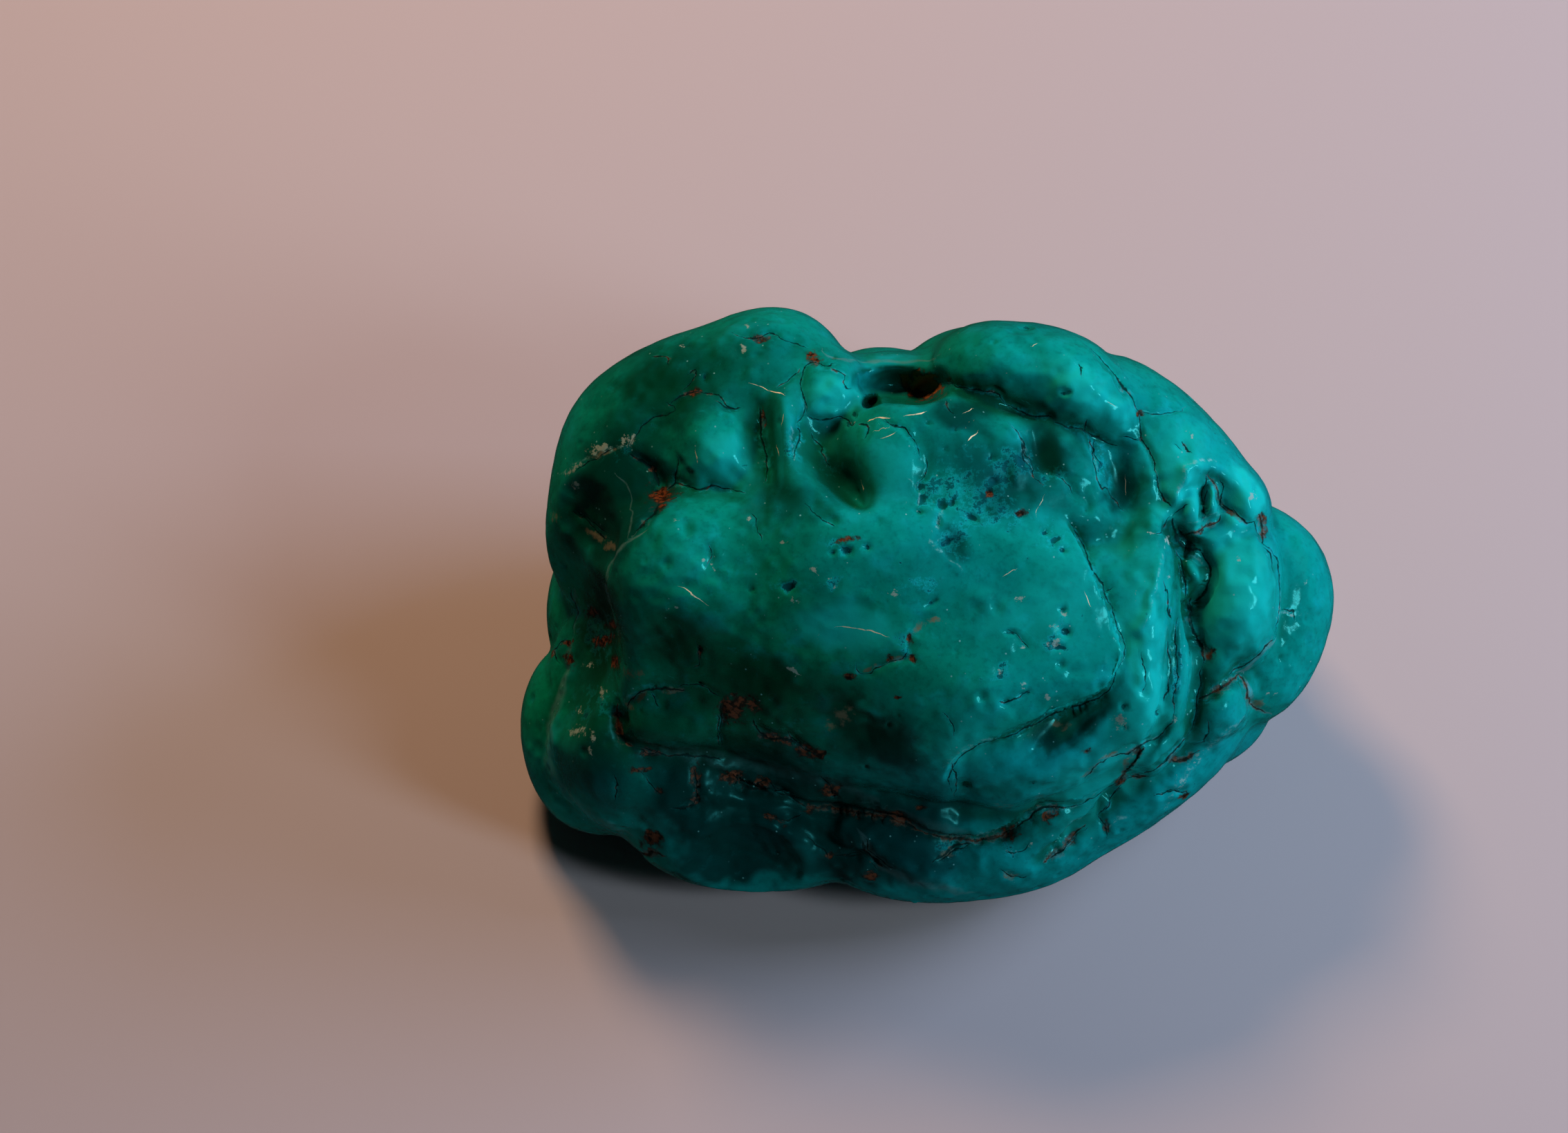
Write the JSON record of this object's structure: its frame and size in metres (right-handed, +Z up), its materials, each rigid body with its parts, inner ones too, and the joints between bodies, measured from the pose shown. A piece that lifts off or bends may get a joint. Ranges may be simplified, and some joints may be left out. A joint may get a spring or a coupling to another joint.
{
  "type": "turquoise nugget",
  "caption": "Palm-sized polished natural turquoise nugget, one lumpy stone with folds, hollows and seams, resting on its worn underside.",
  "frame": {"origin": "centre of the outline, on the plane the stone rests on", "axes": "+Z up from the resting plane, +X along the stone's length towards its knobbed tip, -Y out of the low front edge, so the broad face looks up and towards -Y"},
  "size_m": [0.0794, 0.0534, 0.045],
  "materials": {
    "turquoise": "tumble-polished turquoise, waxy gloss, rusty brown matrix in the seams, small dark pits and pale chalky scuffs"
  },
  "bodies": {
    "root": {"turquoise_nugget": "turquoise"}
  },
  "joints": []
}
